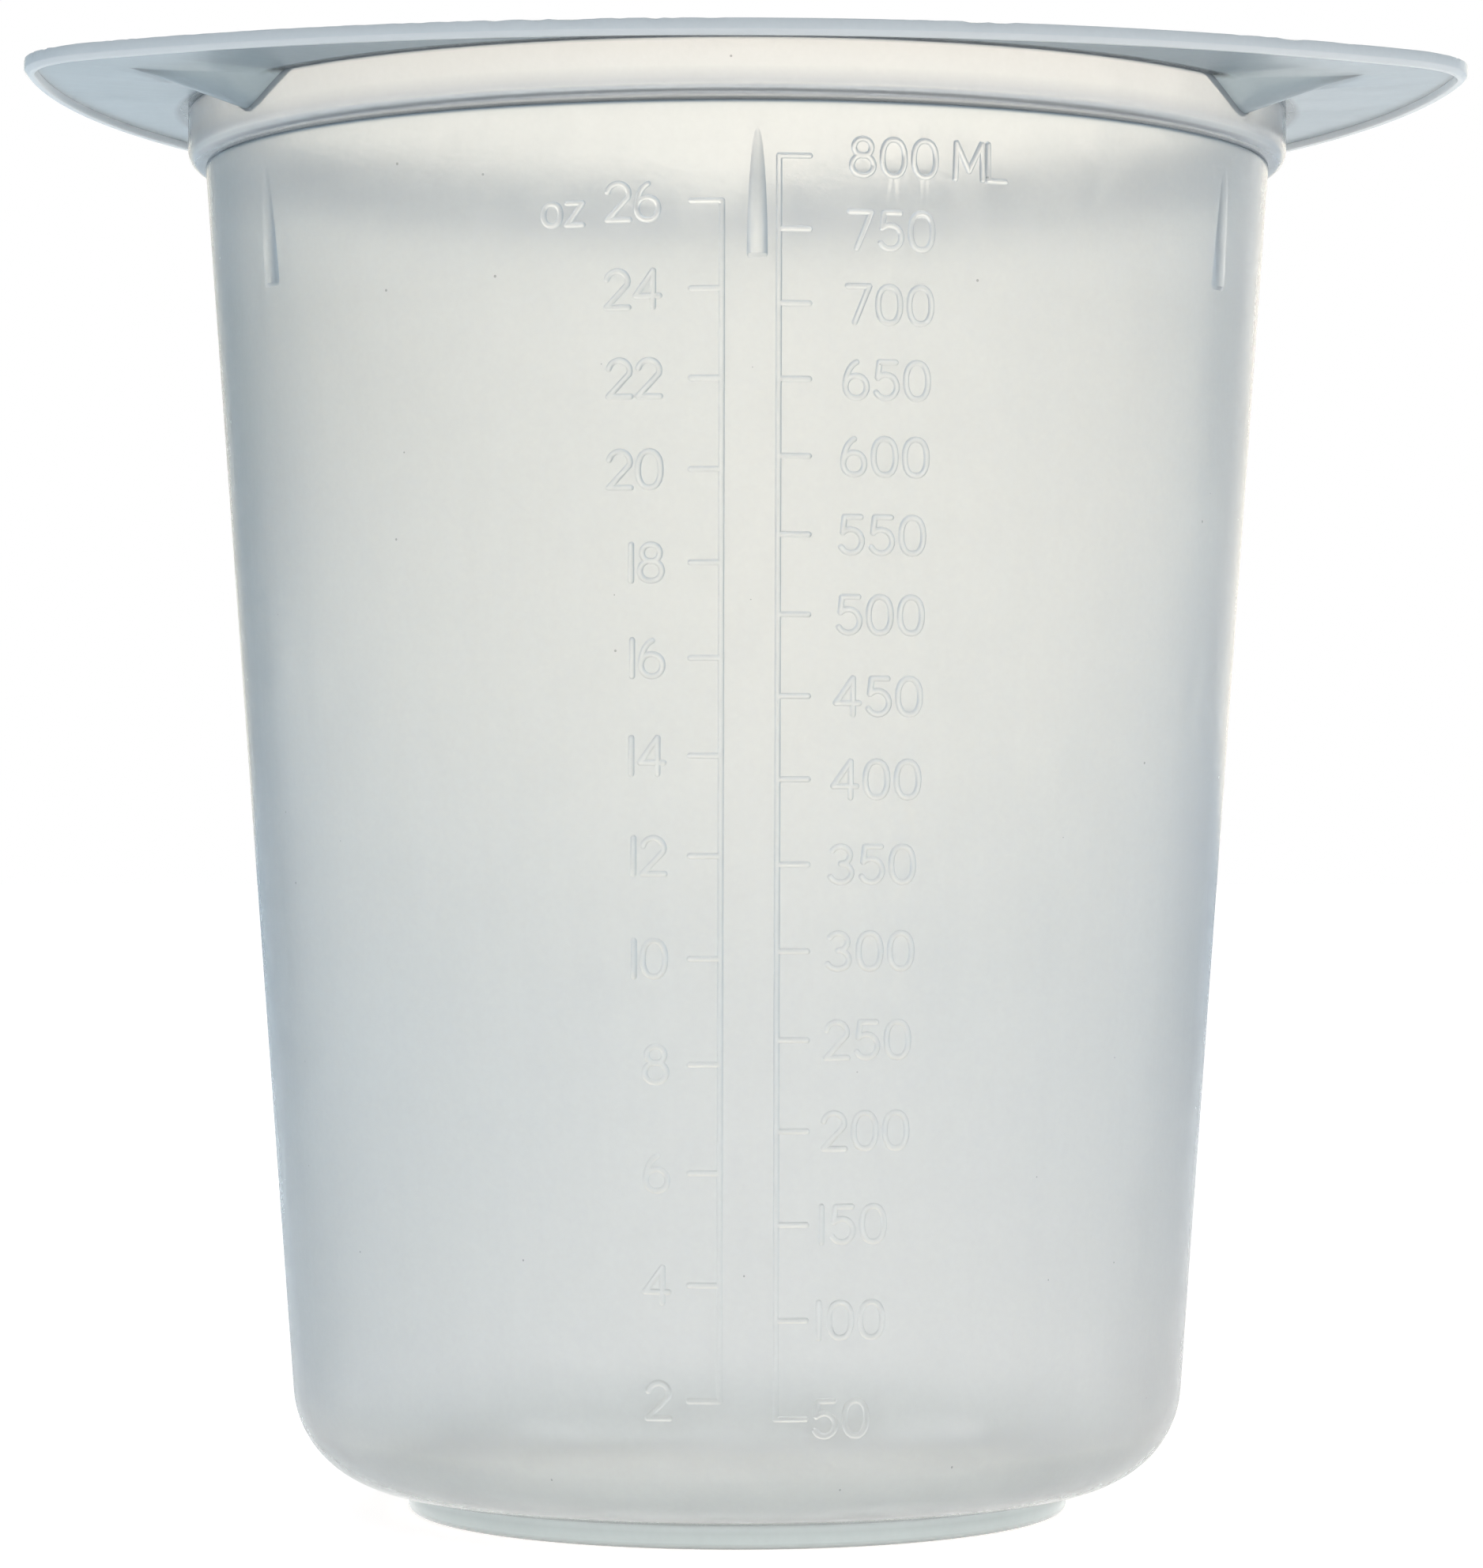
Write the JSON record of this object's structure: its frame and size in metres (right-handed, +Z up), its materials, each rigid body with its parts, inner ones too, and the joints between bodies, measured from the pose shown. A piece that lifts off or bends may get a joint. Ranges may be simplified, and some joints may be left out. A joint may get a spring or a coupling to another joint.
{
  "type": "measuring beaker",
  "caption": "Tapered translucent plastic measuring beaker with a foot ring and a flat three-cornered rim that has a V-shaped pouring channel at every corner.",
  "frame": {"origin": "on the cup's axis, in the plane that the foot ring rests on", "axes": "+Z up along the cup's axis; -Y towards the graduations and the middle of one long side of the rim; +Y towards the rear pouring corner; the millilitre scale is on the +X side"},
  "size_m": [0.1322, 0.1323, 0.1358],
  "materials": {
    "milky_wall": "satin translucent natural polypropylene",
    "milky_rim": "satin translucent natural polypropylene, bluish where it is seen edge on",
    "milky_foot": "satin translucent natural polypropylene",
    "raised_marks": "fine satin, raised on the wall in the same plastic"
  },
  "bodies": {
    "root": {"cup_wall": "milky_wall", "heel": "milky_wall", "base_floor": "milky_wall", "foot_ring": "milky_foot", "shoulder_step": "milky_wall", "neck_band": "milky_wall", "rim_flange": "milky_rim", "rim_lip": "milky_rim", "pour_spout_left": "milky_rim", "pour_spout_right": "milky_rim", "pour_spout_rear": "milky_rim", "stacking_ribs": "milky_wall", "ml_scale": "raised_marks", "oz_scale": "raised_marks"}
  },
  "joints": []
}
